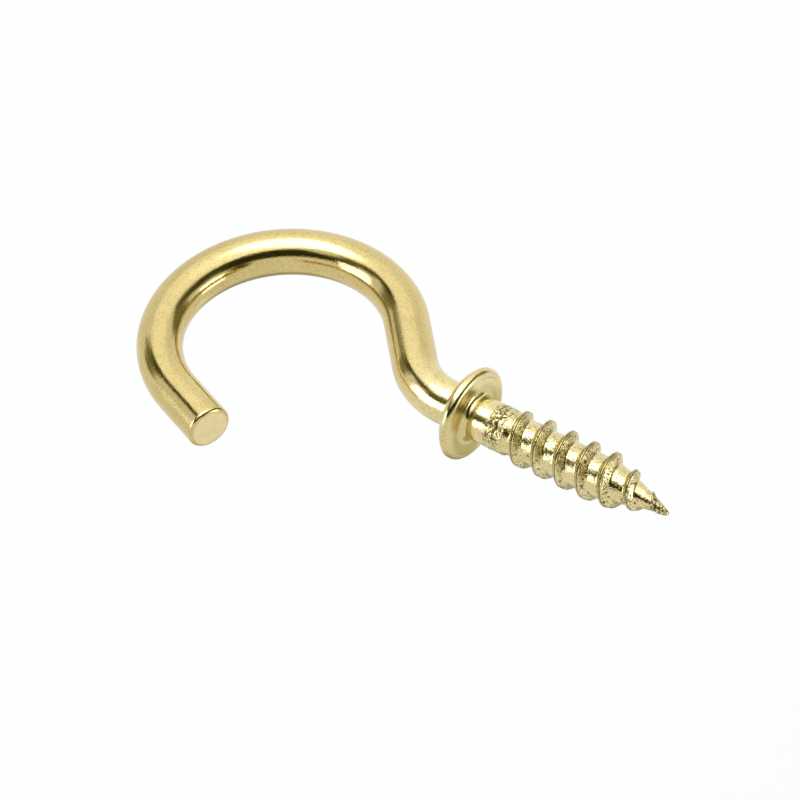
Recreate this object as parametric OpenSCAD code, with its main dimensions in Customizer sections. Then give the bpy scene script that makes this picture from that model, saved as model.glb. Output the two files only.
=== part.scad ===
// Shouldered cup hook: one length of wire, headed to form a collar, with a rolled
// wood screw thread above the collar and an open round hook bent below it.
//
// The origin is the centre of the collar's bearing face. +Z runs along the screw to its
// point, so the hook hangs down -Z, and it is bent in the XZ plane with its mouth on +X.
// All sizes are in millimetres and degrees.

/* [Wire] */
// Diameter of the wire
wire_d = 3; // [2:0.1:3.6]
// Straight wire between the collar and the first bend
neck_len = 1.1; // [0.5:0.1:6]
// Inside radius of the first bend, which leans the wire away from the screw's axis
neck_bend_r = 3.5; // [1.5:0.1:8]
// Angle of the first bend
neck_bend_angle = 46; // [20:1:60]
// Straight wire between the first bend and the bowl
shoulder_len = 3.9; // [1:0.1:8]
// Inside radius of the bowl, where a handle hangs
bowl_r = 6.5; // [5:0.1:12]
// Angle that the bowl is bent through
bowl_angle = 205; // [185:1:215]
// Straight wire from the bowl to the cut end
tip_len = 3.9; // [1:0.1:6]
// Rounding of the cut end's edge
tip_round = 0.25; // [0.1:0.05:0.8]
// How much the wire's radius swells where it is bent
bend_swell = 0.01; // [0.01:0.005:0.03]

/* [Collar] */
// Diameter of the collar
collar_d = 6.3; // [5.2:0.05:9]
// Thickness of the collar at its middle
collar_h = 1.15; // [0.9:0.05:1.5]
// Height of the collar's upright rim
collar_rim_h = 0.4; // [0.2:0.05:0.6]
// Width of the domed edge of the collar's underside, in from its rim
collar_dome_w = 0.85; // [0.6:0.05:1]
// Radius of the domed edge, seen in section
collar_dome_r = 1.5; // [1:0.1:3]
// Bevel round the edge of the bearing face
collar_bevel = 0.08; // [0.05:0.01:0.2]
// Fillet where the shank and the wire leave the collar
collar_fillet = 0.2; // [0.1:0.05:0.3]

/* [Screw] */
// Length of the screw, from the bearing face to the point
screw_len = 15; // [12:0.5:25]
// Plain shank between the bearing face and the thread's root
shank_len = 3; // [2.6:0.1:5]
// How far the thread's crests stand out of the shank's surface
crest_rise = 0.4; // [0.2:0.05:0.6]
// How far the thread's root is sunk under the shank's surface
root_depth = 0.15; // [0.05:0.05:0.4]
// Distance from one turn of the thread to the next
pitch = 1.7; // [1.5:0.05:2.5]
// Width of the thread's crest
crest_w = 0.16; // [0.1:0.02:0.3]
// Slope of each of the thread's flanks, from square to the axis
flank_angle = 37; // [25:1:40]
// Length of the tapered point
point_len = 4.4; // [3:0.1:5.5]
// Diameter of the blunt end of the point
point_d = 0.36; // [0.2:0.02:0.6]
// How far before the end of the plain shank the thread starts to rise
thread_overlap = 0.5; // [0.2:0.1:0.8]
// Part of a turn in which the thread rises to its full height
thread_rise = 0.6; // [0.3:0.1:1.5]
// Direction in which the thread starts, seen from the point
thread_turn = 21; // [0:1:359]

/* [Hidden] */

wire_r = wire_d / 2;
neck_r = neck_bend_r + wire_r;
loop_r = bowl_r + wire_r;
collar_r = collar_d / 2;
crest_r = wire_r + crest_rise;
root_r = wire_r - root_depth;
point_r = point_d / 2;
thread_start = shank_len - thread_overlap;

// The thread's height over the root at the very end of the point
point_ridge = 0.08;
// The shank's end slopes down to the root at this rise per run
shank_end_slope = 0.6;
shank_end_len = root_depth / shank_end_slope;
// The thread's base lies inside the root, at this share of its radius
base_share = 0.82;
// Share of its full height at which the thread starts
least_rise = 0.02;

// Straight wire reaches this far into the bend that it meets
bend_lap = 0.1;

// Faces per full turn
round_faces = 96;
ring_faces = 180;
thread_faces = 24;

// Radius of the screw's root at height z over the bearing face
function root_at(z) =
    z < screw_len - point_len
        ? root_r
        : root_r + (point_r - root_r) * (z - screw_len + point_len) / point_len;

// Radius over the crest at height z
function crest_at(z) =
    z < screw_len - point_len
        ? crest_r
        : crest_r + (point_r + point_ridge - crest_r) * (z - screw_len + point_len) / point_len;

// Share of the full thread height after a number of turns
function rise_at(turns) = min(1, max(least_rise, turns / thread_rise));

// Four corners of the thread's section after a number of turns: base, crest, crest, base
function thread_section(turns) =
    let (
        z = thread_start + turns * pitch,
        base = base_share * root_at(z),
        crest = base + (crest_at(z) - base) * rise_at(turns),
        half_crest = crest_w / 2 * crest / crest_r,
        half_base = half_crest + (crest - base) * tan(flank_angle),
        a = thread_turn + turns * 360
    )
    [for (corner = [[base, -half_base], [crest, -half_crest], [crest, half_crest], [base, half_base]])
        [corner[0] * cos(a), corner[0] * sin(a), z + corner[1]]];

// Half outline of the headed blank, from the first bend up to the screw's point
module blank_profile() {
    polygon([
        [0, -collar_h - neck_len - bend_lap],
        [wire_r, -collar_h - neck_len - bend_lap],
        [wire_r, -collar_h],
        [collar_r - collar_dome_w, -collar_h],
        [collar_r, -collar_rim_h],
        [collar_r, -collar_bevel],
        [collar_r - collar_bevel, 0],
        [wire_r, 0],
        [wire_r, shank_len],
        [root_r, shank_len + shank_end_len],
        [root_r, screw_len - point_len],
        [point_r, screw_len],
        [0, screw_len]
    ]);
    dome_profile();
    corner_fillet(-1, -collar_h);
    corner_fillet(1, 0);
}

// Domed edge of the collar's underside: an arc from the rim's lower edge to the flat,
// its centre found from the chord between those two points
module dome_profile() {
    dome_h = collar_h - collar_rim_h;
    half_chord = norm([collar_dome_w, dome_h]) / 2;
    inward = [-dome_h, collar_dome_w] / (2 * half_chord);
    chord_middle = [collar_r - collar_dome_w / 2, -collar_h + dome_h / 2];
    intersection() {
        translate(chord_middle + inward * sqrt(collar_dome_r ^ 2 - half_chord ^ 2))
            circle(r = collar_dome_r, $fn = ring_faces);
        translate([collar_r - collar_dome_w, -collar_h]) square([collar_dome_w, dome_h]);
    }
}

// Fillet between the wire and a flat of the collar, on its lower (-1) or upper (1) side.
// It reaches as far into both as it stands out of them.
module corner_fillet(side, level) {
    difference() {
        translate([wire_r, level]) square(2 * collar_fillet, center = true);
        translate([wire_r + collar_fillet, level + side * collar_fillet])
            circle(r = collar_fillet, $fn = round_faces);
    }
}

// Wire stub, collar and screw core, all turned about the screw's axis
module blank() {
    rotate_extrude($fn = round_faces) blank_profile();
}

// Helical ridge of the thread
module thread_ridge() {
    turns = (screw_len - thread_start) / pitch;
    steps = floor(turns * thread_faces) - 1;
    corners = 4;
    points = [for (i = [0 : steps]) each thread_section(i / thread_faces)];
    sides = [
        for (i = [0 : steps - 1], k = [0 : corners - 1])
            let (
                a = i * corners + k,
                b = i * corners + (k + 1) % corners
            )
            each [[a, b + corners, a + corners], [a, b, b + corners]]
    ];
    ends = [[3, 2, 1, 0], [for (k = [0 : corners - 1]) steps * corners + k]];
    polyhedron(points = points, faces = concat(sides, ends), convexity = 10);
}

// Straight wire between two bends, running down from the origin; the children carry on
// from its end
module straight_wire(length) {
    translate([0, 0, -length]) {
        translate([0, 0, -bend_lap]) cylinder(r = wire_r, h = length + 2 * bend_lap, $fn = round_faces);
        children();
    }
}

// Bent wire from the origin, leaving down -Z and turning towards +X, or towards -X with
// a negative angle; the children carry on from its end
module bent_wire(radius, angle) {
    side = sign(angle);
    translate([side * radius, 0, 0]) {
        rotate([90, 0, 0])
            rotate([0, 0, side > 0 ? 180 : angle])
                rotate_extrude(angle = abs(angle), $fn = ring_faces)
                    translate([radius, 0]) circle(r = wire_r + bend_swell, $fn = round_faces);
        rotate([0, -angle, 0]) translate([-side * radius, 0, 0]) children();
    }
}

// Cut end of the wire with a rounded edge, running down from the bend at the origin
module cut_end(length) {
    rotate_extrude($fn = round_faces)
        difference() {
            translate([0, -length]) square([wire_r, length + bend_lap]);
            difference() {
                translate([wire_r - tip_round, -length - tip_round]) square(2 * tip_round);
                translate([wire_r - tip_round, tip_round - length])
                    circle(r = tip_round, $fn = round_faces);
            }
        }
}

module cup_hook() {
    color("#d2b878") {
        blank();
        thread_ridge();
        translate([0, 0, -collar_h - neck_len])
            bent_wire(neck_r, -neck_bend_angle)
                straight_wire(shoulder_len)
                    bent_wire(loop_r, bowl_angle)
                        cut_end(tip_len);
    }
}

cup_hook();
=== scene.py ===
from math import atan2, cos, degrees, hypot, pi, radians, sin, sqrt, tan, tau

import bpy
from mathutils import Matrix, Vector


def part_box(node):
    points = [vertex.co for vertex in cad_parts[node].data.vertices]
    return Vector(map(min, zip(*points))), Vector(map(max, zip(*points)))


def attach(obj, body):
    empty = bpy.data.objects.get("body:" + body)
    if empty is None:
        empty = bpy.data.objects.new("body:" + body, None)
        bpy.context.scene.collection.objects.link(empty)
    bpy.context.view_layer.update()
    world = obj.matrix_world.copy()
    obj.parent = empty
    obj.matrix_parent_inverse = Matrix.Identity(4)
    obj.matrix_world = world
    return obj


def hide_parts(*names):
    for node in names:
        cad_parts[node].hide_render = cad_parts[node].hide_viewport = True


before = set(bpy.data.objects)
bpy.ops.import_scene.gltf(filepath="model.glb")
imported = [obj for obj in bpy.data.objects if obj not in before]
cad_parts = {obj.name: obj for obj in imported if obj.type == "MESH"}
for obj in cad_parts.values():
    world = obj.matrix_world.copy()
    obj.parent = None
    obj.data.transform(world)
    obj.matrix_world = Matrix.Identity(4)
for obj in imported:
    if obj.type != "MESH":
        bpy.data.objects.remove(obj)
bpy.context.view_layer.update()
mm = 0.001
hookLow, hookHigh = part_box("cup_hook")
print("frame loaded, hook box", [round(v / mm, 2) for v in (*hookLow, *hookHigh)])


# helpers for objects and node trees
def link(thing):
    bpy.context.scene.collection.objects.link(thing)
    return thing


def newTree(name, kind, inputs, outputs):
    tree = bpy.data.node_groups.new(name, kind)
    for way, sockets in (("INPUT", inputs), ("OUTPUT", outputs)):
        for label, socketType, default in sockets:
            socket = tree.interface.new_socket(name=label, in_out=way, socket_type=socketType)
            if default is not None:
                socket.default_value = default
    return tree, addNode(tree, "NodeGroupInput").outputs, addNode(tree, "NodeGroupOutput")


def floats(*labels):
    return [(label, "NodeSocketFloat", 0) for label in labels]


def addNode(tree, kind, values=None, **settings):
    node = tree.nodes.new(kind)
    for name, value in settings.items():
        setattr(node, name, value)
    fill(tree, node, values or {})
    return node


def fill(tree, node, values):
    # the node's inputs by name or number, each from a socket or a plain value
    for key, value in values.items():
        if isinstance(value, bpy.types.NodeSocket):
            tree.links.new(value, node.inputs[key])
        elif value is not None:
            node.inputs[key].default_value = value


def calculator(tree):
    # calc("ADD", a, b) puts one maths node in the tree and gives back its result
    def calc(operation, *values, clamp=False):
        node = addNode(tree, "ShaderNodeMath", dict(enumerate(values)), operation=operation)
        node.use_clamp = clamp
        return node.outputs[0]
    return calc


def vectorCalculator(tree):
    def calc(operation, *values):
        # the factor of SCALE has a socket of its own
        keys = (0, "Scale") if operation == "SCALE" else (0, 1)
        node = addNode(tree, "ShaderNodeVectorMath", dict(zip(keys, values)),
                       operation=operation)
        return node.outputs["Value" if operation in ("LENGTH", "DOT_PRODUCT") else "Vector"]
    return calc


def smoothStep(tree, value, low, high, lowValue=0.0, highValue=1.0):
    # low may be the higher of the two, and then the result falls
    return addNode(tree, "ShaderNodeMapRange",
                   {0: value, 1: low, 2: high, 3: lowValue, 4: highValue},
                   interpolation_type="SMOOTHSTEP").outputs[0]


def noise(tree, vector, scale, detail, roughness=0.5):
    return addNode(tree, "ShaderNodeTexNoise", {
        "Vector": vector, "Scale": scale, "Detail": detail, "Roughness": roughness}).outputs


def blendValue(tree, first, second, share):
    return addNode(tree, "ShaderNodeMix", {"Factor": share, "A": first, "B": second},
                   data_type="FLOAT").outputs[0]


wire = {
    "diameter": 3.0 * mm,
    "neckLength": 1.15 * mm,  # straight wire under the collar
    "neckBend": 3.5 * mm,  # inside radius
    "neckAngle": -46,  # leans towards -X
    "shoulderLength": 3.9 * mm,
    "bowlBend": 6.5 * mm,  # inside radius
    "bowlAngle": 205,  # turns back towards +X
    "tipLength": 3.9 * mm,
    "tipRound": 0.25 * mm,
    "tipRows": 8,  # rows of the skin in that rounding
    "lineStep": 0.05 * mm,  # between points of the centre line
    "rowStep": 0.24 * mm,  # between rows
    "endStep": 0.14 * mm,  # between rows on the cut end
    "edgeStep": 0.02 * mm,  # from an edge to its extra row
    "columns": 144,
    "poleRadius": 0.001 * mm,  # rows nearer the axis than this are a single vertex
    "endDepth": 0.004 * mm,  # of what counts as the cut end's face
    "weld": 0.0008 * mm,  # vertices closer than this become one
}

collar = {
    "diameter": hookHigh.y - hookLow.y,
    "height": 1.1 * mm,
    "rimHeight": 0.46 * mm,
    "rimRound": 0.38 * mm,  # on the bearing side
    "rimStart": 168,  # degrees, leaves a faint corner at the lip
    "rimStep": 0.08 * mm,
    "domeWidth": 1.0 * mm,
    "domeRadius": 1.5 * mm,
    "domeRows": 14,
    "underStep": 0.1 * mm,
    "faceStep": 0.12 * mm,  # between rows on the bearing face
    "lipWidth": 0.06 * mm,  # fine raised lip where the heading dies met
    "lipHeight": 0.04 * mm,
    "lipSlope": 0.09 * mm,
    "lipEdgeStep": 0.01 * mm,
    "fillet": 0.2 * mm,  # to the wire
    "filletRows": 8,
    "shankFillet": 0.4 * mm,  # to the shank
    "shankFilletRows": 12,
    "rimRows": 12,
}

screw = {
    "length": hookHigh.z,
    "shankLength": 3.0 * mm,
    "shankEnd": 0.3 * mm,  # slope from the shank down to the thread's root
    "rollMarks": ((1.95 * mm, 0.03 * mm), (2.36 * mm, 0.05 * mm)),  # how far up, how high
    "rollMarkWidth": 0.16 * mm,
    "rollMarkRows": 6,
    "rootDepth": 0.15 * mm,
    "crestRise": 0.37 * mm,
    "crestLess": 0.12 * mm,  # the thread is rolled shallower on one side
    "lessTurn": 49,  # degrees, from +X towards +Y
    "pitch": 1.7 * mm,
    "crestWidth": 0.18 * mm,
    "crestRound": 0.03 * mm,
    "rootRound": 0.16 * mm,
    "crestGroove": 0.05 * mm,  # seam that rolling leaves along the crest
    "grooveShare": 0.2,  # of the crest's width
    "flankAngle": 33,
    "pointLength": 4.4 * mm,
    "pointDiameter": 0.36 * mm,
    "pointArc": 105,  # degrees, where its blunt end meets the taper
    "pointRows": 5,
    "threadOverlap": 0.5 * mm,
    "threadLead": 0.3,  # turns before the thread's start that its maths covers
    "threadRise": 0.8,  # turns
    "threadTurn": 21,  # degrees
    "threadFade": (12.5 * mm, 14.3 * mm),
    "threadTrace": 0.03 * mm,  # what is left of the ridge on the point
    "lean": 0.38 * mm,  # the point is bent a little to one side
    "leanLength": 2.9 * mm,
    "leanTurn": 80,
    "rowStep": 0.05 * mm,
    "rowPull": 0.5,  # rows drawn towards the crest
    "pullRise": 0.6,  # turns
}

# the rolled surface is uneven, most of all on the ridge
rolledSurface = {
    "depth": 0.03 * mm,
    "plainShare": 0.7,  # of that depth away from the ridge
    "start": 1.35 * mm,  # over the bearing face
    "rise": 0.5 * mm,
    "bumpScale": 4.0,  # per mm, as the next
    "markScale": 0.9,  # the roll marks come and go round the shank
    "markFrom": (0.38, 0.55),
    "markHeight": (-0.9, 0.3),  # added share of their height
}

wireRadius = wire["diameter"] / 2
rootRadius = wireRadius - screw["rootDepth"]
pointRadius = screw["pointDiameter"] / 2


def centreLine():
    # from the screw's point down to the cut end, walked in the XZ plane
    neckRadius = wire["neckBend"] + wireRadius
    bowlRadius = wire["bowlBend"] + wireRadius
    neckTurn = radians(wire["neckAngle"])
    bowlTurn = radians(wire["bowlAngle"])
    stretches = [
        (screw["length"] + collar["height"] + wire["neckLength"], 0),
        (neckRadius * abs(neckTurn), neckTurn),
        (wire["shoulderLength"], 0),
        (bowlRadius * abs(bowlTurn), bowlTurn),
        (wire["tipLength"], 0),
    ]
    place, heading = Vector((0, 0, screw["length"])), radians(-90)
    points = [place.copy()]
    for length, turn in stretches:
        steps = round(length / wire["lineStep"])
        for _ in range(steps):
            heading += turn / steps / 2
            place += Vector((cos(heading), 0, sin(heading))) * length / steps
            heading += turn / steps / 2
            points.append(place.copy())
    return points, sum(length for length, turn in stretches)


class Outline:
    # rows of the skin: distance from the screw's point along the centre line, radius
    def __init__(self):
        self.points = [(0.0, 0.0)]

    def run(self, along, radius, step, edgeStep=wire["edgeStep"]):
        # straight stretch with an extra row close to both of its ends
        lastAlong, lastRadius = self.points[-1]
        length = hypot(along - lastAlong, radius - lastRadius)
        shares = [1]
        if length > 3 * edgeStep:
            inner = max(1, round((length - 2 * edgeStep) / step))
            inset = edgeStep / length
            shares = [inset + (1 - 2 * inset) * i / inner for i in range(inner + 1)] + [1]
        for share in shares:
            self.points.append((lastAlong + (along - lastAlong) * share,
                                lastRadius + (radius - lastRadius) * share))

    def arc(self, centreAlong, centreRadius, radius, start, end, rows):
        for i in range(1, rows + 1):
            angle = radians(start + (end - start) * i / rows)
            self.points.append((centreAlong + radius * cos(angle),
                                centreRadius + radius * sin(angle)))

    def bead(self, middle, width, height, rows):
        # low rounded ridge all the way round
        level = self.points[-1][1]
        for i in range(rows + 1):
            share = i / rows
            self.points.append((middle + width * (share - 0.5),
                                level + height * sin(pi * share) ** 2))


def addScrew(out, face):
    # blunt point, tapered root, plain root, shank with the marks of the thread rolls
    step = screw["rowStep"]
    out.arc(pointRadius, 0, pointRadius, 180, screw["pointArc"], screw["pointRows"])
    out.run(screw["pointLength"], rootRadius, step)
    out.run(face - screw["shankLength"] - screw["shankEnd"], rootRadius, step)
    out.run(face - screw["shankLength"], wireRadius, step)
    markWidth = screw["rollMarkWidth"]
    for distance, height in reversed(screw["rollMarks"]):
        out.run(face - distance - markWidth / 2, wireRadius, step)
        out.bead(face - distance, markWidth, height, screw["rollMarkRows"])


def addCollar(out, face):
    # wide fillet from the shank to the bearing face
    fillet = collar["shankFillet"]
    out.run(face - fillet, wireRadius, collar["faceStep"])
    out.arc(face - fillet, wireRadius + fillet, fillet, -90, 0, collar["shankFilletRows"])
    # bearing face out to the lip
    rim = collar["diameter"] / 2
    lipTop, lipRadius = face - collar["lipHeight"], rim - collar["rimRound"]
    lipInner = lipRadius - collar["lipWidth"]
    out.run(face, lipInner - collar["lipSlope"], collar["faceStep"])
    out.run(lipTop, lipInner, collar["lipSlope"] / 4, collar["lipEdgeStep"])
    out.run(lipTop, lipRadius, collar["lipWidth"] / 2, collar["lipEdgeStep"])
    # rounded rim
    rimTop = face + collar["rimHeight"]
    out.arc(lipTop + collar["rimRound"], lipRadius, collar["rimRound"],
            collar["rimStart"], 90, collar["rimRows"])
    out.run(rimTop, rim, collar["rimStep"])
    # domed side towards the hook, an arc through the rim's edge and the dome's foot
    domeWidth, domeHeight = collar["domeWidth"], collar["height"] - collar["rimHeight"]
    halfChord = hypot(domeWidth, domeHeight) / 2
    reach = sqrt(collar["domeRadius"] ** 2 - halfChord ** 2) / (2 * halfChord)
    centreAlong = rimTop + domeHeight / 2 - domeWidth * reach
    centreRadius = rim - domeWidth / 2 - domeHeight * reach
    under = face + collar["height"]
    start = degrees(atan2(rim - centreRadius, rimTop - centreAlong))
    end = degrees(atan2(rim - domeWidth - centreRadius, under - centreAlong))
    out.arc(centreAlong, centreRadius, collar["domeRadius"], start, end, collar["domeRows"])
    fillet = collar["fillet"]
    out.run(under, wireRadius + fillet, collar["underStep"])
    out.arc(under + fillet, wireRadius + fillet, fillet, 180, 270, collar["filletRows"])


def addWire(out, wholeLength):
    # round wire to the cut end
    tipRound = wire["tipRound"]
    out.run(wholeLength - tipRound, wireRadius, wire["rowStep"])
    out.arc(wholeLength - tipRound, wireRadius - tipRound, tipRound, 90, 0, wire["tipRows"])
    out.run(wholeLength, 0, wire["endStep"])


def lineObject(name, points):
    data = bpy.data.curves.new(name, "CURVE")
    data.dimensions = "3D"
    spline = data.splines.new("POLY")
    spline.points.add(len(points) - 1)
    for point, place in zip(spline.points, points):
        point.co = (*place, 1)
    return link(bpy.data.objects.new(name, data))


linePoints, wholeLength = centreLine()
hookOutline = Outline()
addScrew(hookOutline, screw["length"])
addCollar(hookOutline, screw["length"])
addWire(hookOutline, wholeLength)
centreLineObject = lineObject("centreLine", linePoints)
outlineObject = lineObject("hookOutline", [(*row, 0) for row in hookOutline.points])
print("centre line", len(linePoints), "points,", round(wholeLength / mm, 2), "mm;",
      "outline", len(hookOutline.points), "rows")


def rolledThread():
    # radius of the screw at a height over the bearing face and an angle round it
    tree, g, result = newTree("rolledThread", "GeometryNodeTree", floats(
        "Height", "Angle", "Core", "Start", "Pitch", "Root", "Crest", "Crest Less", "Less Turn",
        "Crest Width", "Crest Groove", "Flank Slope", "Taper Start", "Taper Length",
        "Point Radius", "Fade Start", "Fade End", "Trace", "Rise", "Turn", "Pull",
        "Crest Round", "Root Round",
    ), floats("Height", "Radius", "Ridge", "From Crest"))
    calc = calculator(tree)
    # how many turns up, counted from the crest at this angle
    share = calc("FRACT", calc("DIVIDE", calc("SUBTRACT", g["Angle"], g["Turn"]), tau))
    firstTurns = calc("DIVIDE", calc("SUBTRACT", g["Height"], g["Start"]), g["Pitch"])
    # rows are drawn towards the crest, so that it keeps its edge
    swing = calc("SINE", calc("MULTIPLY", calc("SUBTRACT", firstTurns, share), tau))
    begun = smoothStep(tree, firstTurns, 0.0, screw["pullRise"])
    ended = smoothStep(tree, g["Height"], g["Fade End"], g["Fade Start"])
    pull = calc("MULTIPLY", calc("MULTIPLY", g["Pull"], begun), ended)
    moved = calc("DIVIDE", calc("MULTIPLY", calc("MULTIPLY", swing, pull), g["Pitch"]), tau)
    height = calc("SUBTRACT", g["Height"], moved)
    # on the cone of the point a moved row changes its radius too
    coneDrop = calc("SUBTRACT", g["Root"], g["Point Radius"])
    coneSlope = calc("DIVIDE", coneDrop, g["Taper Length"])
    onCone = calc("GREATER_THAN", height, g["Taper Start"])
    core = calc("MULTIPLY_ADD", calc("MULTIPLY", moved, coneSlope), onCone, g["Core"])
    core = calc("MINIMUM", core, calc("MAXIMUM", g["Core"], g["Root"]))
    # the nearest crest, and how far along the axis it is
    turns = calc("DIVIDE", calc("SUBTRACT", height, g["Start"]), g["Pitch"])
    crestTurn = calc("ADD", calc("ROUND", calc("SUBTRACT", turns, share)), share)
    away = calc("MULTIPLY", calc("SUBTRACT", turns, crestTurn), g["Pitch"])
    # radius over the crest there: rises at the start, follows the taper, fades out on the point
    risen = smoothStep(tree, crestTurn, 0.0, g["Rise"])
    tapered = addNode(tree, "ShaderNodeMapRange", {
        0: height, 1: g["Taper Start"], 2: calc("ADD", g["Taper Start"], g["Taper Length"]),
        3: g["Crest"], 4: calc("ADD", g["Point Radius"], g["Trace"])}).outputs[0]
    towardsLess = calc("COSINE", calc("SUBTRACT", g["Angle"], g["Less Turn"]))
    shallow = calc("ADD", 0.5, calc("MULTIPLY", 0.5, towardsLess))
    belowTaper = smoothStep(
        tree, height, calc("ADD", g["Taper Start"], g["Pitch"]), g["Taper Start"])
    shallow = calc("MULTIPLY", shallow, belowTaper)
    tapered = calc("SUBTRACT", tapered, calc("MULTIPLY", g["Crest Less"], shallow))
    remaining = smoothStep(tree, height, g["Fade End"], g["Fade Start"])
    tapered = blendValue(tree, calc("ADD", core, g["Trace"]), tapered, remaining)
    low = calc("SUBTRACT", g["Root"], calc("MULTIPLY", g["Crest Round"], 2))
    crest = calc("ADD", calc("MULTIPLY", calc("SUBTRACT", tapered, low), risen), low)
    # flanks, with a rounded crest and a rounded corner at the root
    awaySquare = calc("MULTIPLY", away, away)
    roundSquare = calc("MULTIPLY", g["Crest Round"], g["Crest Round"])
    soft = calc("SQRT", calc("ADD", awaySquare, roundSquare))
    halfCrest = calc("ADD", calc("DIVIDE", g["Crest Width"], 2), g["Crest Round"])
    down = calc("MAXIMUM", 0.0, calc("SUBTRACT", soft, halfCrest))
    ridge = calc("SUBTRACT", crest, calc("MULTIPLY", down, g["Flank Slope"]))
    radius = calc("SMOOTH_MAX", core, ridge, g["Root Round"])
    fullRise = calc("SUBTRACT", g["Crest"], g["Root"])
    rise = calc("DIVIDE", calc("SUBTRACT", radius, core), fullRise, clamp=True)
    # seam along the middle of the crest
    beside = calc("DIVIDE", away, calc("MULTIPLY", g["Crest Width"], screw["grooveShare"]))
    seam = calc("EXPONENT", calc("MULTIPLY", -1.0, calc("MULTIPLY", beside, beside)))
    groove = calc("MULTIPLY", calc("MULTIPLY", seam, g["Crest Groove"]), rise)
    radius = calc("SUBTRACT", radius, groove)
    fill(tree, result, {"Height": height, "Radius": radius, "Ridge": rise, "From Crest": away})
    return tree


def storeValue(tree, geometry, name, value, dataType="FLOAT"):
    return addNode(tree, "GeometryNodeStoreNamedAttribute",
                   {"Geometry": geometry, "Name": name, "Value": value},
                   data_type=dataType, domain="POINT").outputs[0]


def aroundAxis(tree, radius, angle, height):
    calc = calculator(tree)
    return addNode(tree, "ShaderNodeCombineXYZ", {
        "X": calc("MULTIPLY", radius, calc("COSINE", angle)),
        "Y": calc("MULTIPLY", radius, calc("SINE", angle)), "Z": height}).outputs[0]


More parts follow.
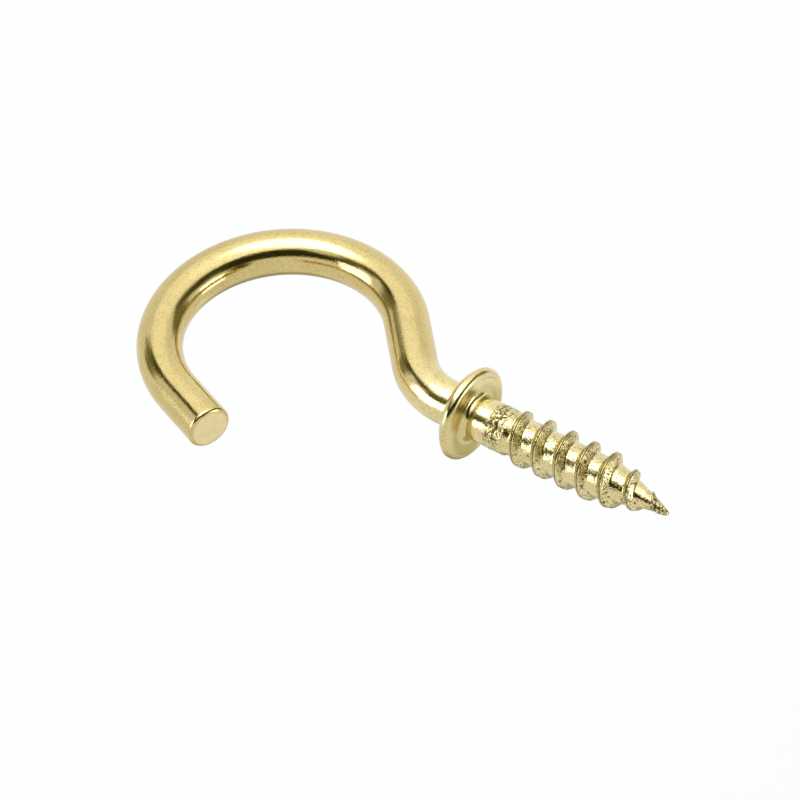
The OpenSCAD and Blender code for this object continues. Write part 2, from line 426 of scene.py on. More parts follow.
def hookTree(threadTree):
    # the outline swept along the centre line as one closed skin
    tree, g, result = newTree("hookFromOutline", "GeometryNodeTree", [
        ("Centre Line", "NodeSocketObject", None),
        ("Outline", "NodeSocketObject", None),
        ("Columns", "NodeSocketInt", 64),
        *floats(
            "Screw Length", "Whole Length", "Thread Start", "Pitch", "Root Radius",
            "Crest Radius", "Crest Less", "Less Turn", "Crest Width", "Crest Groove",
            "Crest Round", "Root Round", "Flank Angle", "Point Length", "Point Radius",
            "Fade Start", "Fade End", "Trace", "Thread Rise", "Thread Turn", "Row Pull",
            "Lean", "Lean Length", "Lean Turn", "Shank Radius", "Shank Length",
            "Rough", "Rough Start", "Rough Rise", "Pole Radius", "End Depth", "Weld"),
        ("Plating", "NodeSocketMaterial", None),
        ("Sheared End", "NodeSocketMaterial", None),
    ], [("Geometry", "NodeSocketGeometry", None)])
    calc, vec = calculator(tree), vectorCalculator(tree)

    def node(kind, values=None, **settings):
        return addNode(tree, kind, values, **settings).outputs

    line = node("GeometryNodeObjectInfo", {"Object": g["Centre Line"]})["Geometry"]
    outline = node("GeometryNodeObjectInfo", {"Object": g["Outline"]})["Geometry"]
    rows = node("GeometryNodeAttributeDomainSize", {"Geometry": outline},
                component="CURVE")["Point Count"]
    ring = calc("ADD", g["Columns"], 1)
    skin = node("GeometryNodeMeshGrid", {"Vertices X": rows, "Vertices Y": ring})["Mesh"]
    # each vertex: its row on the outline and its angle round the wire; the last column
    # lies on the first
    index = node("GeometryNodeInputIndex")[0]
    row = calc("FLOOR", calc("DIVIDE", calc("ADD", index, 0.5), ring))
    column = calc("SUBTRACT", index, calc("MULTIPLY", row, ring))
    notLast = calc("LESS_THAN", column, calc("SUBTRACT", g["Columns"], 0.5))
    column = calc("MULTIPLY", column, notLast)
    angle = calc("MULTIPLY", calc("DIVIDE", column, g["Columns"]), tau)
    position = node("GeometryNodeInputPosition")[0]
    rowPoint = node("GeometryNodeSampleIndex", {
        "Geometry": outline, "Value": position, "Index": row},
        data_type="FLOAT_VECTOR", domain="POINT")["Value"]
    split = node("ShaderNodeSeparateXYZ", {0: rowPoint})
    core = split["Y"]
    height = calc("SUBTRACT", g["Screw Length"], split["X"])
    # the screw, where there is one
    thread = addNode(tree, "GeometryNodeGroup", node_tree=threadTree)
    fill(tree, thread, {name: g[name] for name in (
        "Pitch", "Crest Less", "Less Turn", "Crest Width", "Crest Groove", "Crest Round",
        "Root Round", "Point Radius", "Fade Start", "Fade End", "Trace")})
    fill(tree, thread, {
        "Height": height, "Angle": angle, "Core": core, "Start": g["Thread Start"],
        "Root": g["Root Radius"], "Crest": g["Crest Radius"],
        "Flank Slope": calc("DIVIDE", 1.0, calc("TANGENT", g["Flank Angle"])),
        "Taper Start": calc("SUBTRACT", g["Screw Length"], g["Point Length"]),
        "Taper Length": g["Point Length"], "Rise": g["Thread Rise"], "Turn": g["Thread Turn"],
        "Pull": g["Row Pull"]})
    lead = calc("MULTIPLY", g["Pitch"], screw["threadLead"])
    onScrew = calc("GREATER_THAN", height, calc("SUBTRACT", g["Thread Start"], lead))
    notPole = calc("GREATER_THAN", core, g["Pole Radius"])
    threaded = calc("MULTIPLY", onScrew, notPole)
    height = blendValue(tree, height, thread.outputs["Height"], threaded)
    radius = blendValue(tree, core, thread.outputs["Radius"], threaded)
    ridge = calc("MULTIPLY", threaded, thread.outputs["Ridge"])
    # unevenness of the rolled surface
    roughFull = calc("ADD", g["Rough Start"], g["Rough Rise"])
    rolled = calc("MULTIPLY", notPole, smoothStep(tree, height, g["Rough Start"], roughFull))
    inMillimetres = vec("SCALE", aroundAxis(tree, core, angle, height), 1 / mm)
    bumps = noise(tree, inMillimetres, rolledSurface["bumpScale"], 3.0, 0.65)[0]
    proud = calc("MULTIPLY", calc("GREATER_THAN", core, g["Shank Radius"]),
                 calc("LESS_THAN", height, g["Shank Length"]))
    marks = noise(tree, inMillimetres, rolledSurface["markScale"], 1.0)[0]
    marks = smoothStep(tree, marks, *rolledSurface["markFrom"], *rolledSurface["markHeight"])
    faded = calc("MULTIPLY", proud, calc("MULTIPLY", rolled, marks))
    radius = calc("MULTIPLY_ADD", faded, calc("SUBTRACT", core, g["Shank Radius"]), radius)
    depth = calc("MULTIPLY", g["Rough"], calc("ADD", rolledSurface["plainShare"], ridge))
    depth = calc("MULTIPLY", depth, calc("SUBTRACT", bumps, 0.5))
    radius = calc("ADD", radius, calc("MULTIPLY", calc("MULTIPLY", 2.0, depth), rolled))
    # place on the centre line
    along = calc("SUBTRACT", g["Screw Length"], height)
    sample = node("GeometryNodeSampleCurve", {"Curves": line, "Length": along}, mode="LENGTH")
    side = vec("NORMALIZE", vec("CROSS_PRODUCT", sample["Tangent"], (0.0, 1.0, 0.0)))
    outward = vec("ADD", vec("SCALE", side, calc("COSINE", angle)),
                  vec("SCALE", (0.0, 1.0, 0.0), calc("SINE", angle)))
    place = vec("ADD", sample["Position"], vec("SCALE", outward, radius))
    # the point leans to one side
    leanStart = calc("SUBTRACT", g["Screw Length"], g["Lean Length"])
    leant = calc("DIVIDE", calc("SUBTRACT", height, leanStart), g["Lean Length"], clamp=True)
    leanWay = node("ShaderNodeCombineXYZ", {
        "X": calc("COSINE", g["Lean Turn"]), "Y": calc("SINE", g["Lean Turn"])})[0]
    leanBy = calc("MULTIPLY", g["Lean"], calc("MULTIPLY", leant, leant))
    place = vec("ADD", place, vec("SCALE", leanWay, leanBy))
    # the same place on the unbent wire, for finishes that run along it
    unbent = aroundAxis(tree, radius, angle, height)
    fromCrest = calc("DIVIDE", thread.outputs["From Crest"], mm)
    endStart = calc("SUBTRACT", g["Whole Length"], g["End Depth"])
    skin = storeValue(tree, skin, "unbent", unbent, "FLOAT_VECTOR")
    for name, value in {"ridge": ridge, "rolled": rolled, "fromCrest": fromCrest,
                        "cutEnd": calc("GREATER_THAN", along, endStart)}.items():
        skin = storeValue(tree, skin, name, value)
    skin = node("GeometryNodeSetPosition", {"Geometry": skin, "Position": place})[0]
    skin = node("GeometryNodeMergeByDistance", {"Geometry": skin, "Distance": g["Weld"]})[0]
    skin = node("GeometryNodeSetShadeSmooth", {"Geometry": skin})[0]
    skin = node("GeometryNodeRealizeInstances", {"Geometry": skin})[0]
    skin = node("GeometryNodeSetMaterial", {"Geometry": skin, "Material": g["Plating"]})[0]
    onEnd = node("GeometryNodeInputNamedAttribute", {"Name": "cutEnd"}, data_type="FLOAT")[0]
    isEnd = node("FunctionNodeCompare", {0: onEnd, 1: 0.9},
                 data_type="FLOAT", operation="GREATER_THAN")[0]
    skin = node("GeometryNodeSetMaterial", {
        "Geometry": skin, "Selection": isEnd, "Material": g["Sheared End"]})[0]
    fill(tree, result, {"Geometry": skin})
    return tree


def setInputs(modifier, values):
    sockets = {item.name: item.identifier for item in modifier.node_group.interface.items_tree
               if item.item_type == "SOCKET" and item.in_out == "INPUT"}
    for name, value in values.items():
        modifier[sockets[name]] = value


def makeHook(plating, shearedEnd):
    base = link(bpy.data.objects.new("hookBase", bpy.data.meshes.new("hookBase")))
    modifier = base.modifiers.new("hookFromOutline", "NODES")
    modifier.node_group = hookTree(rolledThread())
    fadeStart, fadeEnd = screw["threadFade"]
    setInputs(modifier, {
        "Centre Line": centreLineObject,
        "Outline": outlineObject,
        "Columns": wire["columns"],
        "Screw Length": screw["length"],
        "Whole Length": wholeLength,
        "Thread Start": screw["shankLength"] - screw["threadOverlap"],
        "Pitch": screw["pitch"],
        "Root Radius": rootRadius,
        "Crest Radius": wireRadius + screw["crestRise"],
        "Crest Less": screw["crestLess"],
        "Less Turn": radians(screw["lessTurn"]),
        "Crest Width": screw["crestWidth"],
        "Crest Groove": screw["crestGroove"],
        "Crest Round": screw["crestRound"],
        "Root Round": screw["rootRound"],
        "Flank Angle": radians(screw["flankAngle"]),
        "Point Length": screw["pointLength"],
        "Point Radius": pointRadius,
        "Fade Start": fadeStart,
        "Fade End": fadeEnd,
        "Trace": screw["threadTrace"],
        "Thread Rise": screw["threadRise"],
        "Thread Turn": radians(screw["threadTurn"]),
        "Row Pull": screw["rowPull"],
        "Lean": screw["lean"],
        "Lean Length": screw["leanLength"],
        "Lean Turn": radians(screw["leanTurn"]),
        "Shank Radius": wireRadius,
        "Shank Length": screw["shankLength"],
        "Rough": rolledSurface["depth"],
        "Rough Start": rolledSurface["start"],
        "Rough Rise": rolledSurface["rise"],
        "Pole Radius": wire["poleRadius"],
        "End Depth": wire["endDepth"],
        "Weld": wire["weld"],
        "Plating": plating,
        "Sheared End": shearedEnd,
    })
    bpy.context.view_layer.update()
    graph = bpy.context.evaluated_depsgraph_get()
    mesh = bpy.data.meshes.new_from_object(
        base.evaluated_get(graph), preserve_all_data_layers=True, depsgraph=graph)
    for spare in (base, centreLineObject, outlineObject):
        bpy.data.objects.remove(spare)
    made = link(bpy.data.objects.new("brassCupHook", mesh))
    triangles = sum(len(face.vertices) - 2 for face in mesh.polygons)
    print("hook skin", len(mesh.vertices), "vertices,", triangles, "triangles")
    return made


# effects that the plating and the cut end share, each with its own values
def effectGroup(name, inputs, *outputs):
    tree, g, result = newTree(name, "ShaderNodeTree", [
        ("Vector", "NodeSocketVector", None),
        *((label, "NodeSocketFloat", default) for label, default in inputs.items()),
    ], floats(*outputs))
    return tree, calculator(tree), g, result


def grainGroup():
    # fine unevenness of bright plating; flecks are its darkest grains
    tree, calc, g, result = effectGroup(
        "platingGrain", {"Grain Size": 0.12, "Fleck Share": 0.3}, "Grain", "Fleck")
    grain = noise(tree, g["Vector"], calc("DIVIDE", 1.0, g["Grain Size"]), 2.0, 0.6)[0]
    low = calc("MULTIPLY_ADD", g["Fleck Share"], 0.3, 0.25)
    fleck = smoothStep(tree, grain, calc("ADD", low, 0.06), low)
    fill(tree, result, {"Grain": grain, "Fleck": fleck})
    return tree


def pitGroup():
    # small ragged pits, in a share of the cells and of uneven size
    tree, calc, g, result = effectGroup(
        "pits", {"Spacing": 0.3, "Pit Size": 0.3, "Share": 0.4}, "Pit")
    vec = vectorCalculator(tree)
    ragged = noise(tree, g["Vector"], calc("DIVIDE", 2.5, g["Spacing"]), 1.0)[1]
    shift = vec("SCALE", vec("SUBTRACT", ragged, (0.5, 0.5, 0.5)),
                calc("MULTIPLY", g["Spacing"], 0.5))
    cells = addNode(tree, "ShaderNodeTexVoronoi", {
        "Vector": vec("ADD", g["Vector"], shift),
        "Scale": calc("DIVIDE", 1.0, g["Spacing"])}).outputs
    pick = addNode(tree, "ShaderNodeSeparateColor", {0: cells["Color"]}).outputs
    size = calc("MULTIPLY", g["Pit Size"], calc("MULTIPLY_ADD", pick[1], 0.7, 0.3))
    pit = smoothStep(tree, cells["Distance"], size, calc("MULTIPLY", size, 0.6))
    pit = calc("MULTIPLY", pit, calc("LESS_THAN", pick[0], g["Share"]))
    fill(tree, result, {"Pit": pit})
    return tree


def cloudGroup():
    # soft patches, for mottling and slow changes of shade
    tree, calc, g, result = effectGroup(
        "cloudiness", {"Cloud Size": 1.0, "Low": 0.4, "High": 0.6}, "Cloud")
    cloud = noise(tree, g["Vector"], calc("DIVIDE", 1.0, g["Cloud Size"]), 3.0, 0.6)[0]
    fill(tree, result, {"Cloud": smoothStep(tree, cloud, g["Low"], g["High"])})
    return tree


finishGroups = {"grain": grainGroup(), "pits": pitGroup(), "cloud": cloudGroup()}

# lengths in this one and the next are in millimetres
plating = {
    "bright": (0.745, 0.595, 0.262, 1),
    "headedBright": (0.79, 0.665, 0.325, 1),
    # paler colour of the rolled plating, also painted onto the neck as painted light
    "rolledBrightAndPaintedPale": (0.87, 0.745, 0.39, 1),
    "crest": (0.70, 0.565, 0.235, 1),
    "burnished": (0.96, 0.85, 0.48, 1),
    "olive": (0.44, 0.36, 0.11, 1),
    "brown": (0.10, 0.073, 0.013, 1),
    "grain": {"Grain Size": 0.11, "Fleck Share": 0.55},
    "grainDepth": 0.0055,
    "drawnGrain": (1.0, 1.0, 0.6),  # drawing the wire stretched its grain
    "rolledGrain": {"Grain Size": 0.17},
    "rolledFlecks": (0.22, 0.48),  # added where torn, everywhere
    "rolledGrainDepth": 0.06,
    "mottle": {"Cloud Size": 0.5, "Low": 0.42, "High": 0.6},
    "drift": {"Cloud Size": 2.0, "Low": 0.35, "High": 0.65},
    "pits": {"Spacing": 0.3, "Pit Size": 0.5, "Share": 0.32},
    "specks": {"Spacing": 0.45, "Pit Size": 0.14, "Share": 0.3},
    "pitDepth": 0.03,
    # heights over the bearing face between which each finish and the painted paler neck set in
    "paintedPaleNeckFrom": (-7.0, -2.0),  # painted light: the plating is painted paler towards the collar
    "headedFrom": (-1.4, -1.1),
    "rimFrom": (-0.5, -0.1),
    "bearingFrom": (-0.12, -0.03),
    "shankFrom": (0.1, 0.5),
    "tornFrom": (1.3, 1.7),
    "tornUntil": (3.3, 2.6),
    "batteredFrom": (13.2, 14.0),  # the very point
    "batteredShares": (0.0, 0.9),
    # distances from the axis
    "bearingReach": (1.75, 2.0),
    "paintedFaceShadeFrom": (1.6, 2.2),
    # directions across the screw, how far towards them, and the shares that gives
    "tornSide": (0.42, -0.91, 0.0),
    "tornTowards": (0.2, 0.8),
    "tornShares": (0.4, 1.0),
    # dark flecks on one side: partly drag marks, partly painted shade
    "flecksAndShadeTowards": (0.6, 0.85),
    "flecksAndShadeShares": (0.0, 0.5),
    # painted shade on the +Y side of the bearing face
    "paintedFaceShadeSide": (0.0, 0.36, 0.0),
    "paintedFaceShadeReach": 3.45,
    "paintedFaceShadeFalloff": -1.2,
    # painted shade in the thread's creases, by the distance from the middle of the crest; minus
    # is the collar's side
    "creaseShadeFrom": (0.04, 0.2),  # height on the ridge, 1 is its top
    "creaseShadeUnder": (-0.09, -0.14),
    "underShares": (0.0, 0.5),
    "crestEdge": 0.12,
    "lineWidth": (0.05, 0.02),
    "seamShares": (0.0, 1.1),
    "creaseShadePatches": (2.4, -0.3),
    "crestFrom": (0.5, 0.95),  # height on the ridge
    # dark flecks: everywhere, on the flanks and where torn
    "flecks": 0.1,
    "flankFlecks": 0.7,
    "tornFlecks": 0.95,
    # strengths of the tints: burnish, painted shade, wear and stains
    "flankBurnish": 0.9,
    "paintedFaceShade": 0.95,
    "worn": 0.3,
    "stainAndCreaseShade": 0.92,
    "speckStain": 0.7,
    # share of the shading by drift and by flecks
    "driftShade": 0.15,
    "fleckShade": 0.36,
    "roughness": 0.09,
    # added to that by grain, wear, the satin of the bearing face, and stains with the painted
    # crease shade
    "roughnessAdded": {"grain": 0.06, "worn": 0.06, "bearing": 0.18, "dark": 0.2},
}

shearedEnd = {
    "bright": (0.90, 0.77, 0.42, 1),
    "dull": (0.80, 0.66, 0.32, 1),
    "dullShare": 0.5,
    "roughness": 0.15,
    "grainRoughness": 0.1,
    "drag": (1.0, 0.45, 1.0),  # the shear blade drew the metal one way
    "grain": {"Grain Size": 0.15, "Fleck Share": 0.25},
    "grainDepth": 0.003,
    "cloud": {"Cloud Size": 0.7, "Low": 0.35, "High": 0.65},
    "pits": {"Spacing": 0.35, "Pit Size": 0.2, "Share": 0.15},
    "pitStain": 0.3,
    "pitHeight": 0.5,  # share of the grain's
}


def finishMaker(name):
    # a metal's shader, and functions to place an effect, mix colours and read a stored value
    material = bpy.data.materials.new(name)
    material.use_nodes = True
    tree = material.node_tree
    shader = tree.nodes["Principled BSDF"]
    shader.inputs["Metallic"].default_value = 1

    def effect(group, vector, values):
        return addNode(tree, "ShaderNodeGroup", {"Vector": vector, **values},
                       node_tree=finishGroups[group]).outputs

    def tint(first, second, share):
        return addNode(tree, "ShaderNodeMix", {"Factor": share, 6: first, 7: second},
                       data_type="RGBA").outputs[2]

    def stored(name, output="Fac"):
        return addNode(tree, "ShaderNodeAttribute", attribute_name=name).outputs[output]

    return material, tree, shader, effect, tint, stored


def bump(tree, height, depth, normal=None):
    # depth in millimetres
    return addNode(tree, "ShaderNodeBump", {
        "Height": height, "Distance": depth * mm, "Strength": 1.0, "Normal": normal}).outputs[0]


def platingMaterial():
    material, tree, shader, effect, tint, stored = finishMaker("brassPlating")
    calc, vec = calculator(tree), vectorCalculator(tree)

    def setsIn(value, key, *levels):
        return smoothStep(tree, value, *plating[key], *levels)

    # millimetres along and round the straight wire
    unbent = vec("SCALE", stored("unbent", "Vector"), 1 / mm)
    height = addNode(tree, "ShaderNodeSeparateXYZ", {0: unbent}).outputs["Z"]
    fromAxis = vec("LENGTH", vec("MULTIPLY", unbent, (1.0, 1.0, 0.0)))
    rolled, ridge, fromCrest = stored("rolled"), stored("ridge"), stored("fromCrest")
    grain = effect("grain", vec("MULTIPLY", unbent, plating["drawnGrain"]), plating["grain"])
    mottle = effect("cloud", unbent, plating["mottle"])["Cloud"]
    drift = effect("cloud", unbent, plating["drift"])["Cloud"]
    pit = effect("pits", unbent, plating["pits"])["Pit"]
    speck = calc("MULTIPLY", effect("pits", unbent, plating["specks"])["Pit"], drift)
    # painted light: the neck is painted paler towards the collar
    paintedPaleNeck, headed = setsIn(height, "paintedPaleNeckFrom"), setsIn(height, "headedFrom")
    # the bearing face keeps the satin of the heading die
    bearing = calc("MULTIPLY", setsIn(height, "bearingFrom"), setsIn(fromAxis, "bearingReach"))
    # the rolls dragged the plating on the thread's flanks, and tore it near the collar; on one
    # side more dark flecks are added as painted shade, widening the dark reflection in the roots
    flank = calc("MULTIPLY", calc("MULTIPLY", ridge, calc("SUBTRACT", 1.0, ridge)), 4.0)
    torn = calc("MULTIPLY", setsIn(height, "tornFrom"), setsIn(height, "tornUntil"))
    towardsTorn = vec("DOT_PRODUCT", vec("SCALE", unbent, mm / wireRadius), plating["tornSide"])
    torn = calc("MULTIPLY", torn, setsIn(towardsTorn, "tornTowards", *plating["tornShares"]))
    # dark flecks on one side: partly drag marks, partly painted shade that widens the dark
    # reflection in the roots
    dragged = setsIn(towardsTorn, "flecksAndShadeTowards", *plating["flecksAndShadeShares"])
    battered = setsIn(height, "batteredFrom", *plating["batteredShares"])
    torn = calc("MAXIMUM", torn, battered)
    rubbed = calc("MULTIPLY_ADD", calc("MAXIMUM", flank, torn), 0.75, 0.25)
    rough = effect("grain", unbent, {
        **plating["rolledGrain"],
        "Fleck Share": calc("MULTIPLY_ADD", torn, *plating["rolledFlecks"])})
    worn = calc("MULTIPLY", rolled, calc("MULTIPLY", mottle, rubbed), clamp=True)
    mottled = calc("MULTIPLY_ADD", mottle, 0.4, 0.6)
    pitted = calc("MULTIPLY", pit, calc("MULTIPLY", rolled, mottled), clamp=True)
    # painted shade sits in the seam along the crest and under its edge on the collar's side
    under = setsIn(fromCrest, "creaseShadeUnder", *plating["underShares"])
    fromEdge = calc("ABSOLUTE", calc("ADD", fromCrest, plating["crestEdge"]))
    edge = setsIn(fromEdge, "lineWidth")
    seam = setsIn(calc("ABSOLUTE", fromCrest), "lineWidth", *plating["seamShares"])
    creaseShade = calc("MULTIPLY", setsIn(ridge, "creaseShadeFrom"),
                   calc("MAXIMUM", under, calc("MAXIMUM", edge, seam)))
    patchy = calc("MULTIPLY_ADD", rough["Grain"], *plating["creaseShadePatches"])
    creaseShade = calc("MULTIPLY", creaseShade, patchy, clamp=True)
    tornFlecks = calc("MULTIPLY", torn, plating["tornFlecks"])
    flecks = calc("MAXIMUM", calc("MULTIPLY", flank, plating["flankFlecks"]), dragged)
    flecks = calc("ADD", plating["flecks"], calc("MAXIMUM", flecks, tornFlecks))
    flecks = calc("MULTIPLY", calc("MULTIPLY", rolled, rough["Fleck"]), flecks)
    # dark: pits, specks and flecks, with the painted crease shade
    dark = calc("MAXIMUM", pitted, calc("MULTIPLY", speck, plating["speckStain"]))
    dark = calc("MAXIMUM", dark, calc("MAXIMUM", flecks, creaseShade))
    # painted shade: the bearing face is painted olive on its +Y side
    paintedFaceShade = calc("ADD", vec("DOT_PRODUCT", unbent, plating["paintedFaceShadeSide"]),
                  plating["paintedFaceShadeReach"])
    paintedFaceShade = calc("MULTIPLY_ADD", fromAxis, plating["paintedFaceShadeFalloff"], paintedFaceShade, clamp=True)
    paintedFaceShade = calc("MULTIPLY", calc("MULTIPLY", paintedFaceShade, plating["paintedFaceShade"]),
                  setsIn(fromAxis, "paintedFaceShadeFrom"))
    paintedFaceShade = calc("MULTIPLY", paintedFaceShade, setsIn(height, "rimFrom"))
    fleckShade = calc("MULTIPLY", grain["Fleck"], plating["fleckShade"])
    shade = calc("MULTIPLY_ADD", drift, plating["driftShade"], fleckShade)
    bright = calc("MAXIMUM", bearing, setsIn(height, "shankFrom"))
    colour = plating["bright"]
    for shadeName, share in (
        # the paler neck is painted light
        ("rolledBrightAndPaintedPale", paintedPaleNeck), ("headedBright", headed), ("rolledBrightAndPaintedPale", bright),
        # the olive on one side of the bearing face is painted shade
        ("olive", paintedFaceShade), ("crest", setsIn(ridge, "crestFrom")),
        ("burnished", calc("MULTIPLY", flank, plating["flankBurnish"])),
        ("olive", shade), ("olive", calc("MULTIPLY", worn, plating["worn"])),
        # the brown takes real stains and flecks, and painted shade in the thread's creases
        ("brown", calc("MULTIPLY", dark, plating["stainAndCreaseShade"])),
    ):
        colour = tint(colour, plating[shadeName], share)
    roughness = plating["roughness"]
    added = plating["roughnessAdded"]
    for name, share in (("grain", grain["Grain"]), ("worn", worn), ("bearing", bearing)):
        roughness = calc("MULTIPLY_ADD", share, added[name], roughness)
    roughness = calc("MULTIPLY_ADD", dark, added["dark"], roughness, clamp=True)
    # grain over all, coarser and deeper where the thread was rolled, with the pits sunk into it
    rolledHeight = calc("MULTIPLY", calc("MULTIPLY", rolled, rubbed),
                        calc("SUBTRACT", rough["Grain"], 0.5))
    pitHeight = calc("SUBTRACT", 1.0, calc("MAXIMUM", pitted, calc("MULTIPLY", speck, 0.3)))
    normal = bump(tree, grain["Grain"], plating["grainDepth"])
    normal = bump(tree, rolledHeight, plating["rolledGrainDepth"], normal)
    normal = bump(tree, pitHeight, plating["pitDepth"], normal)
    fill(tree, shader, {"Base Color": colour, "Roughness": roughness, "Normal": normal})
    return material


def shearedEndMaterial():
    material, tree, shader, effect, tint, stored = finishMaker("shearedEnd")
    calc, vec = calculator(tree), vectorCalculator(tree)
    unbent = vec("SCALE", stored("unbent", "Vector"), 1 / mm)
    dragged = vec("MULTIPLY", unbent, shearedEnd["drag"])
    grain = effect("grain", dragged, shearedEnd["grain"])["Grain"]
    cloud = effect("cloud", unbent, shearedEnd["cloud"])["Cloud"]
    pit = effect("pits", unbent, shearedEnd["pits"])["Pit"]
    colour = tint(shearedEnd["bright"], shearedEnd["dull"],
                  calc("MULTIPLY", cloud, shearedEnd["dullShare"]))
    colour = tint(colour, plating["brown"], calc("MULTIPLY", pit, shearedEnd["pitStain"]))
    roughness = calc("MULTIPLY_ADD", grain, shearedEnd["grainRoughness"], shearedEnd["roughness"])
    height = calc("SUBTRACT", grain, calc("MULTIPLY", pit, shearedEnd["pitHeight"]))
    normal = bump(tree, height, shearedEnd["grainDepth"])
    fill(tree, shader, {"Base Color": colour, "Roughness": roughness, "Normal": normal})
    return material


hookPiece = makeHook(platingMaterial(), shearedEndMaterial())
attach(hookPiece, "root")
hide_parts("cup_hook")
print("hook in its plating, riding on root")


camera = {
    "azimuth": 36.6,  # degrees, round the hook from -Y towards +X
    "elevation": 26.54,
    "roll": 115.96,  # the hook is seen lying on its side
    "distance": 500.7 * mm,
    "aim": Vector((1.49 * mm, 0, -4.84 * mm)),
    "lens": 353.7,
    "sensor": 36,
    "clip": (0.01, 5),
}


def placeAlong(made, place, across, upward, back):
    # the object's own axes, with -Z the way it looks or shines
    turned = Matrix((across, upward, back)).transposed().to_4x4()
    made.matrix_world = Matrix.Translation(place) @ turned


def makeCamera():
    turn, tilt = radians(camera["azimuth"]), radians(camera["elevation"])
    level = cos(tilt)
    back = Vector((sin(turn) * level, -cos(turn) * level, sin(tilt)))
    right = Vector((0, 0, 1)).cross(back).normalized()
    up = back.cross(right)
    roll = radians(camera["roll"])
    across = right * cos(roll) + up * sin(roll)
    upward = up * cos(roll) - right * sin(roll)
    data = bpy.data.cameras.new("camera")
    data.lens, data.sensor_width = camera["lens"], camera["sensor"]
    data.clip_start, data.clip_end = camera["clip"]
    made = link(bpy.data.objects.new("camera", data))
    placeAlong(made, camera["aim"] + back * camera["distance"], across, upward, back)
    bpy.context.scene.camera = made


# in the studio, over is the side that faces up while the hook lies in the main view;
# turn is measured round it from +Z towards +X, lift above the XZ plane, both in degrees
over = Vector((0, -1, 0))

softboxes = {
    "overhead": {"turn": 168, "lift": 80, "wide": 44, "high": 44, "shape": "DISK",
                 "radiance": 2.2},
    "leftWindow": {"turn": -18, "lift": -1, "wide": 28, "high": 28, "shape": "RECTANGLE",
                   "radiance": 2.6},
    "rightWindow": {"turn": 131.5, "lift": 15.5, "wide": 32, "high": 30, "shape": "RECTANGLE",
                    "radiance": 2.4},
}

studio = {
    "lampDistance": 0.6,
    "lampColour": (0.94, 0.98, 1.12),
    "pale": 0.835,  # surroundings as the metal reflects them
    "farPale": 0.88,  # on the far side
    "farFrom": (0.2, -0.9),  # how far they face the camera's side
    "darkTint": (1, 0.97, 0.2, 1),  # the darker, the warmer
    "plainFrom": 0.6,  # level above which nothing is tinted
    # dark on the camera's side, above the pale table and under the overhead light
    "dark": {"turn": 40, "low": 21, "soft": 4, "darkest": 0.03, "ends": 0.13,
             "from": (-0.5, -0.3), "deepens": (-0.4, 0.6)},
    # broad soft light over the hook
    "cap": {"turn": -120, "lift": 78, "half": 43, "soft": 6, "edge": 1.2, "middle": 1.5,
            "brightens": (50, 66)},
    "patches": [
        # dark gaps beside the windows
        {"turn": 14, "lift": 12, "half": 10, "soft": 5, "level": 0.08},
        {"turn": -66, "lift": 8, "half": 17, "soft": 6, "level": 0.2},
        # dim stretch over the left window, and the glow round it
        {"turn": -16, "lift": 27, "half": 9, "soft": 7, "level": 0.1},
        {"turn": -16, "lift": 11, "half": 11, "soft": 7, "level": 0.75},
        # soft lower edge of the overhead light
        {"turn": 108, "lift": 57, "half": 11, "soft": 6, "level": 0.85},
        # glow over the right window, and the far end of the dark band above it
        {"turn": 147, "lift": 30, "half": 9, "soft": 4, "level": 0.8},
        {"turn": 137, "lift": 47, "half": 6, "soft": 3, "level": 0.12},
        {"turn": 156, "lift": 45, "half": 7, "soft": 3, "level": 0.07},
        {"turn": 168, "lift": 45, "half": 6, "soft": 3, "level": 0.1},
        {"turn": -190, "lift": 12.5, "half": 8, "soft": 5, "level": 0.22},
        {"turn": -176, "lift": 33, "half": 6, "soft": 4, "level": 0.22},
        {"turn": -179, "lift": 22, "half": 6, "soft": 4, "level": 0.2},
        {"turn": 173, "lift": 27, "half": 6, "soft": 5, "level": 0.18},
        {"turn": 178, "lift": 38, "half": 7, "soft": 4, "level": 0.06},
        # shaded table right under the hook, and its lit middle
        {"turn": -120, "lift": -80, "half": 22, "soft": 9, "level": 0.45},
        {"turn": -50, "lift": -46, "half": 7, "soft": 5, "level": 1.0},
        # paler stretch of the far side
        {"turn": -105, "lift": -8, "half": 20, "soft": 12, "level": 1.0},
        {"turn": -119, "lift": 22, "half": 14, "soft": 9, "level": 1.02},
    ],
    "horizon": 0.845,  # where floor and backdrop meet
    "whiteFrom": 0.3,  # height over the horizon, 1 is straight up
    "fill": 0.97,  # what lights the floor
}

floor = {
    "level": hookLow.z - 35 * mm,
    "radius": 1.5,
    "sides": 96,
    "colour": (0.88, 0.88, 0.862, 1),
    "roughness": 0.9,
}


def towards(turn, lift=0):
    turn, lift = radians(turn), radians(lift)
    flat = Vector((sin(turn), 0, cos(turn)))
    return flat * cos(lift) + over * sin(lift)


def makeSoftboxes():
    distance = studio["lampDistance"]
    for name, box in softboxes.items():
        back = towards(box["turn"], box["lift"])
        across = over.cross(back).normalized()
        lamp = bpy.data.lights.new(name, "AREA")
        lamp.shape = box["shape"]
        lamp.size = 2 * distance * tan(radians(box["wide"] / 2))
        lamp.size_y = 2 * distance * tan(radians(box["high"] / 2))
        area = lamp.size * lamp.size_y * (pi / 4 if box["shape"] == "DISK" else 1)
        lamp.energy = box["radiance"] * pi * area
        lamp.color = studio["lampColour"]
        made = link(bpy.data.objects.new(name, lamp))
        placeAlong(made, back * distance, across, back.cross(across), back)
        made.visible_camera = False


def spot(tree, direction, place):
    # 1 within the spot's half angle, 0 outside it
    middle = vectorCalculator(tree)(
        "DOT_PRODUCT", direction, tuple(towards(place["turn"], place["lift"])))
    outer = cos(radians(place["half"] + place["soft"]))
    inner = cos(radians(place["half"] - place["soft"]))
    return smoothStep(tree, middle, outer, inner)


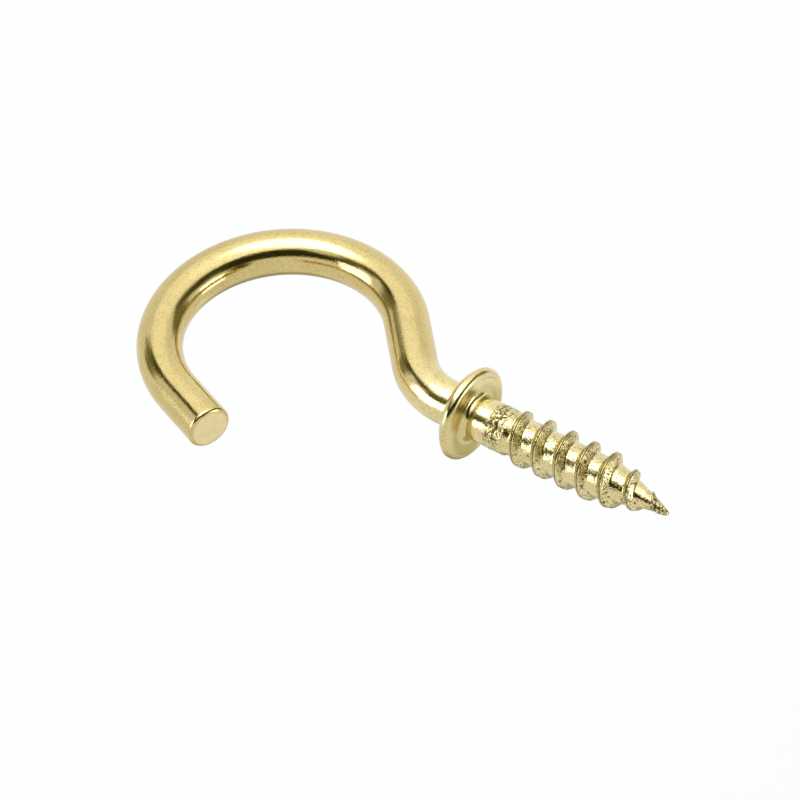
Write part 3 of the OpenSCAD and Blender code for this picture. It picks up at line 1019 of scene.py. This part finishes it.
def makeWorld():
    world = bpy.data.worlds.new("studio")
    bpy.context.scene.world = world
    world.use_nodes = True
    tree = world.node_tree
    calc, vec = calculator(tree), vectorCalculator(tree)
    direction = addNode(tree, "ShaderNodeTexCoord").outputs["Generated"]
    height = vec("DOT_PRODUCT", direction, tuple(over))
    flatSquare = calc("SUBTRACT", 1.0, calc("MULTIPLY", height, height))
    flat = calc("SQRT", calc("MAXIMUM", flatSquare, 0.0001))
    # 1 towards the camera's side, -1 away from it
    cap, side = studio["cap"], studio["dark"]
    facing = calc("DIVIDE", vec("DOT_PRODUCT", direction, tuple(towards(side["turn"]))), flat)
    seen = smoothStep(tree, facing, *studio["farFrom"], studio["pale"], studio["farPale"])
    low, soft = radians(side["low"]), radians(side["soft"])
    above = smoothStep(tree, height, sin(low - soft), sin(low + soft))
    dark = calc("MULTIPLY", above, smoothStep(tree, facing, *side["from"]))
    darkLevel = smoothStep(tree, facing, *side["deepens"], side["ends"], side["darkest"])
    seen = blendValue(tree, seen, darkLevel, dark)
    edge, middle = (sin(radians(lift)) for lift in cap["brightens"])
    capLevel = smoothStep(tree, height, edge, middle, cap["edge"], cap["middle"])
    seen = blendValue(tree, seen, capLevel, spot(tree, direction, cap))
    for patch in studio["patches"]:
        seen = blendValue(tree, seen, patch["level"], spot(tree, direction, patch))
    # plain white behind the hook, meeting the floor in its own shade; plain fill on the floor
    path = addNode(tree, "ShaderNodeLightPath").outputs
    upward = addNode(tree, "ShaderNodeSeparateXYZ", {0: direction}).outputs["Z"]
    backdrop = smoothStep(tree, upward, 0.0, studio["whiteFrom"], studio["horizon"], 1.0)
    strength = calc("ADD", seen, calc(
        "MULTIPLY", path["Is Camera Ray"], calc("SUBTRACT", backdrop, seen)))
    strength = calc("ADD", strength, calc(
        "MULTIPLY", path["Is Diffuse Ray"], calc("SUBTRACT", studio["fill"], strength)))
    warmth = addNode(tree, "ShaderNodeMix", {
        "Factor": calc("DIVIDE", strength, studio["plainFrom"], clamp=True),
        6: studio["darkTint"], 7: (1, 1, 1, 1)}, data_type="RGBA").outputs[2]
    fill(tree, tree.nodes["Background"], {"Color": warmth, "Strength": strength})


def makeFloor():
    corners = []
    for i in range(floor["sides"]):
        angle = tau * i / floor["sides"]
        corners.append((floor["radius"] * cos(angle), floor["radius"] * sin(angle),
                        floor["level"]))
    mesh = bpy.data.meshes.new("floor")
    mesh.from_pydata(corners, [], [list(range(floor["sides"]))])
    made = link(bpy.data.objects.new("floor", mesh))
    material = bpy.data.materials.new("paleFloor")
    material.use_nodes = True
    tree = material.node_tree
    fill(tree, tree.nodes["Principled BSDF"], {
        "Base Color": floor["colour"], "Roughness": floor["roughness"]})
    mesh.materials.append(material)
    made.visible_glossy = False  # the metal reflects the studio's own table instead
    made.visible_shadow = False


makeCamera()
makeSoftboxes()
makeWorld()
makeFloor()
bpy.context.scene.view_settings.view_transform = "Standard"
print("camera, softboxes, world and floor ready")
